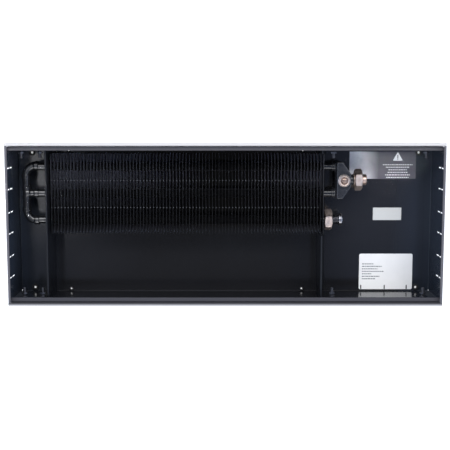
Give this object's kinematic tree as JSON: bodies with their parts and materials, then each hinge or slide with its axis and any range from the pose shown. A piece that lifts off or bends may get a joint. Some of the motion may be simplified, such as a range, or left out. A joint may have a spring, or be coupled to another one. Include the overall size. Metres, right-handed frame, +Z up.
{
  "type": "trench convector heater",
  "caption": "Low open-topped steel trench casing with aluminium edge, finned water heat exchanger along the back wall, header with air vent, and pipe unions.",
  "frame": {"origin": "centre of the casing's underside, on the surface that it stands on", "axes": "+X along the casing to the end with the pipe connections, +Y to the long wall that the heat exchanger lies along, +Z up"},
  "size_m": [0.8, 0.3, 0.11],
  "materials": {
    "casing_paint": "semi-gloss powder coat",
    "anodised_edge": "satin anodised",
    "ledge_grey": "matt damping strip",
    "fin_paint": "satin black",
    "tube_paint": "gloss black",
    "cast_paint": "black painted casting",
    "brass": "machined",
    "steel": "zinc plated",
    "chrome": "polished",
    "gasket": "matt"
  },
  "bodies": {
    "casing": {"bulkhead_left": "casing_paint", "bulkhead_right": "casing_paint", "casing_tray": "casing_paint", "edge_profile_back": "anodised_edge", "edge_profile_front": "anodised_edge", "edge_profile_left": "anodised_edge", "edge_profile_right": "anodised_edge", "elbow_back": "tube_paint", "elbow_front": "tube_paint", "end_wall_left": "casing_paint", "end_wall_right": "casing_paint", "exchanger_end_plate": "fin_paint", "fin_pack": "fin_paint", "floor_bush_back_1": "steel", "floor_bush_back_2": "steel", "floor_bush_back_3": "steel", "floor_bush_back_4": "steel", "floor_bush_front_1": "steel", "floor_bush_front_2": "steel", "floor_bush_front_3": "steel", "floor_bush_front_4": "steel", "header": "cast_paint", "ledge_strip_back": "ledge_grey", "ledge_strip_front": "ledge_grey", "link_pipe_back": "tube_paint", "link_pipe_front": "tube_paint", "return_end_ring": "chrome", "return_gasket": "gasket", "return_neck": "steel", "stud_nut_back_1": "steel", "stud_nut_back_2": "steel", "stud_nut_back_3": "steel", "stud_nut_back_4": "steel", "stud_nut_front_1": "steel", "stud_nut_front_2": "steel", "stud_nut_front_3": "steel", "stud_nut_front_4": "steel", "supply_gasket": "gasket", "supply_tail": "brass", "tee_middle": "tube_paint", "tube_back": "tube_paint", "tube_front": "tube_paint", "tube_middle": "tube_paint", "vent_body": "brass", "wall_stud_back_1": "steel", "wall_stud_back_2": "steel", "wall_stud_back_3": "steel", "wall_stud_back_4": "steel", "wall_stud_front_1": "steel", "wall_stud_front_2": "steel", "wall_stud_front_3": "steel", "wall_stud_front_4": "steel"},
    "vent_screw": {"vent_screw": "chrome"},
    "supply_nut": {"supply_union_nut": "brass"},
    "return_nut": {"return_union_nut": "brass"}
  },
  "joints": [
    {"name": "vent_screw_turn", "type": "hinge", "parent": "casing", "child": "vent_screw", "pos_m": [0.2215, 0.07825, 0.066], "axis": [0, 0, 1], "range_deg": [0, 270]},
    {"name": "supply_nut_spin", "type": "hinge", "parent": "casing", "child": "supply_nut", "pos_m": [0.251, 0.07825, 0.035], "axis": [1, 0, 0], "continuous": true},
    {"name": "return_nut_spin", "type": "hinge", "parent": "casing", "child": "return_nut", "pos_m": [0.195, 0.0025, 0.035], "axis": [1, 0, 0], "continuous": true}
  ]
}
